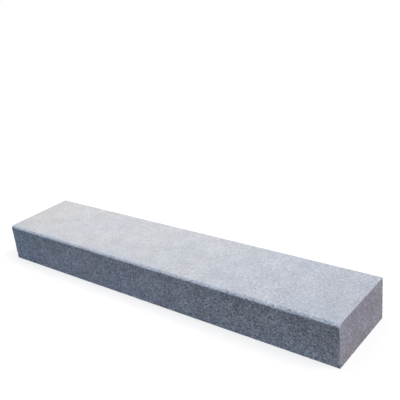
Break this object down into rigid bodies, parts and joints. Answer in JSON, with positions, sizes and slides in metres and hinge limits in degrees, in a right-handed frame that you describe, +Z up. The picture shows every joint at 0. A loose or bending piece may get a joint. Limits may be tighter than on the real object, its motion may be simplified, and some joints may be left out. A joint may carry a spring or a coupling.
{
  "type": "granite kerb stone",
  "caption": "Straight granite kerb stone: a sawn rectangular block with a dressed tread and a chamfered road-side edge, laid end to end as paving edging.",
  "frame": {"origin": "middle of the bed, on the surface that the stone lies on", "axes": "+X along the kerb, +Y from the road face to the back face, +Z up from the bed to the tread"},
  "size_m": [1, 0.2, 0.1],
  "materials": {
    "granite": "grey granite, fine dressed tread and chamfer, sawn road face, back, bed and joint faces"
  },
  "bodies": {
    "root": {"kerb_stone": "granite"}
  },
  "joints": []
}
